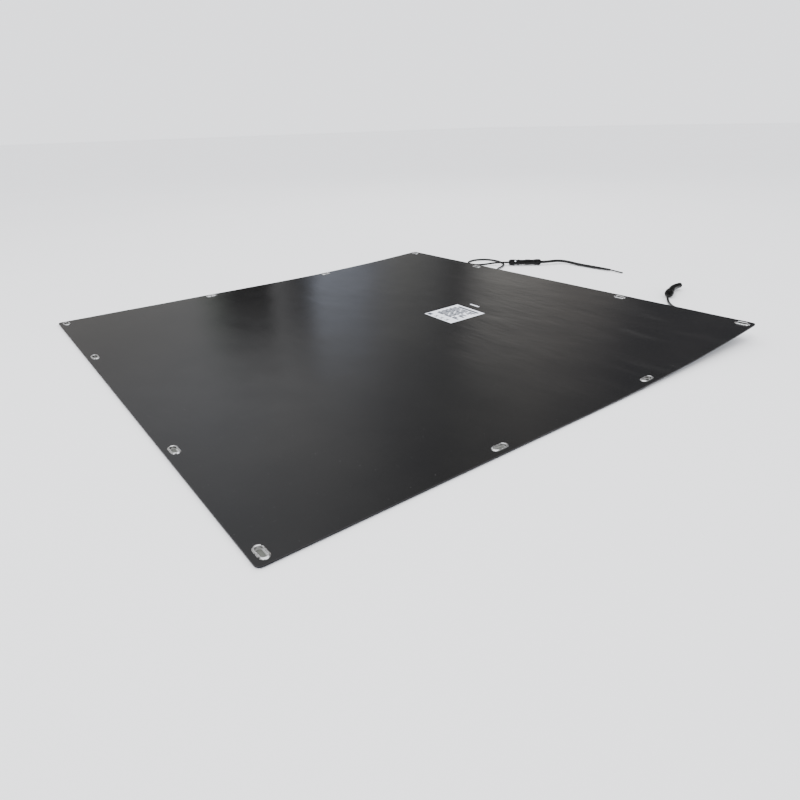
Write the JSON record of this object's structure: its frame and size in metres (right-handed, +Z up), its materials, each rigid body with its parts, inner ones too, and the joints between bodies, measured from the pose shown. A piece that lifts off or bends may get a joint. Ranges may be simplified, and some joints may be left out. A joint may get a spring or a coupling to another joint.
{
  "type": "flexible solar sheet",
  "caption": "Thin near-square flexible solar laminate lying face down, with obround steel eyelets, junction boxes beneath one edge and two leads with round connectors.",
  "frame": {"origin": "on the floor under the middle of the sheet's bounding box, leads left out", "axes": "+X towards the edge with the junction boxes and leads, +Y along that edge, +Z up out of the back of the sheet"},
  "size_m": [1.4644, 1.16, 0.0336],
  "materials": {
    "black_back_sheet": "satin black polymer back sheet",
    "sun_side_film": "clear textured fluoropolymer film over black cells",
    "encapsulant": "clear cured encapsulant",
    "solar_cell": "dark blue-black silicon cell",
    "tinned_copper": "tinned copper",
    "label_film": null,
    "stainless_steel": "polished pressed stainless steel",
    "box_plastic": "black moulded plastic",
    "diode_epoxy": "black epoxy",
    "cable_jacket": "black cross-linked cable jacket",
    "connector_plastic": "black moulded plastic, satin",
    "cap_rubber": "black soft rubber"
  },
  "bodies": {
    "sheet": {"front_sheet": "sun_side_film", "front_encapsulant": "encapsulant", "cell_string_1": "solar_cell", "cell_string_2": "solar_cell", "cell_string_3": "solar_cell", "cell_string_4": "solar_cell", "cell_string_5": "solar_cell", "cell_string_6": "solar_cell", "rear_encapsulant": "encapsulant", "bus_ribbon_1": "tinned_copper", "bus_ribbon_2": "tinned_copper", "back_sheet": "black_back_sheet", "rating_label": "label_film", "serial_label": "label_film", "eyelet_01": "stainless_steel", "eyelet_02": "stainless_steel", "eyelet_03": "stainless_steel", "eyelet_04": "stainless_steel", "eyelet_05": "stainless_steel", "eyelet_06": "stainless_steel", "eyelet_07": "stainless_steel", "eyelet_08": "stainless_steel", "eyelet_09": "stainless_steel", "eyelet_10": "stainless_steel", "eyelet_11": "stainless_steel", "eyelet_12": "stainless_steel", "eyelet_washer_01": "stainless_steel", "eyelet_washer_02": "stainless_steel", "eyelet_washer_03": "stainless_steel", "eyelet_washer_04": "stainless_steel", "eyelet_washer_05": "stainless_steel", "eyelet_washer_06": "stainless_steel", "eyelet_washer_07": "stainless_steel", "eyelet_washer_08": "stainless_steel", "eyelet_washer_09": "stainless_steel", "eyelet_washer_10": "stainless_steel", "eyelet_washer_11": "stainless_steel", "eyelet_washer_12": "stainless_steel", "junction_box_base_a": "box_plastic", "junction_box_lid_a": "box_plastic", "bypass_diode_a": "diode_epoxy", "junction_box_base_b": "box_plastic", "junction_box_lid_b": "box_plastic", "bypass_diode_b": "diode_epoxy", "lead_a": "cable_jacket", "lead_b": "cable_jacket", "socket_housing_a": "connector_plastic", "socket_contact": "tinned_copper", "socket_housing_b": "connector_plastic"},
    "socket_nut_a": {"socket_nut_a": "connector_plastic"},
    "socket_nut_b": {"socket_nut_b": "connector_plastic"},
    "plug": {"plug_housing": "connector_plastic", "plug_pin": "tinned_copper", "tail_lead": "cable_jacket", "tail_conductor": "cable_jacket"},
    "plug_nut": {"plug_nut": "connector_plastic"},
    "plug_latch_left": {"plug_latch_left": "connector_plastic"},
    "plug_latch_right": {"plug_latch_right": "connector_plastic"},
    "dust_cap": {"dust_cap": "cap_rubber"}
  },
  "joints": [
    {"name": "plug_pull", "type": "slide", "parent": "sheet", "child": "plug", "axis": [0.7577, -0.6526, 0], "range_m": [0, 0.035]},
    {"name": "socket_nut_a_turn", "type": "hinge", "parent": "sheet", "child": "socket_nut_a", "pos_m": [0.72862, 0.26003, 0.0098], "axis": [0.7577, -0.6526, 0], "range_deg": [0, 360]},
    {"name": "plug_nut_turn", "type": "hinge", "parent": "plug", "child": "plug_nut", "pos_m": [0.79416, 0.20358, 0.0098], "axis": [-0.7577, 0.6526, 0], "range_deg": [0, 360]},
    {"name": "latch_left_press", "type": "hinge", "parent": "plug", "child": "plug_latch_left", "pos_m": [0.76813, 0.23893, 0.0098], "axis": [0, 0, 1], "range_deg": [0, 4]},
    {"name": "latch_right_press", "type": "hinge", "parent": "plug", "child": "plug_latch_right", "pos_m": [0.75533, 0.22408, 0.0098], "axis": [0, 0, -1], "range_deg": [0, 4]},
    {"name": "socket_nut_b_turn", "type": "hinge", "parent": "sheet", "child": "socket_nut_b", "pos_m": [0.74217, -0.2881, 0.0112], "axis": [0.9304, 0.3665, 0], "range_deg": [0, 360]},
    {"name": "dust_cap_pull", "type": "slide", "parent": "sheet", "child": "dust_cap", "axis": [0.9304, 0.3665, 0], "range_m": [0, 0.022]}
  ]
}
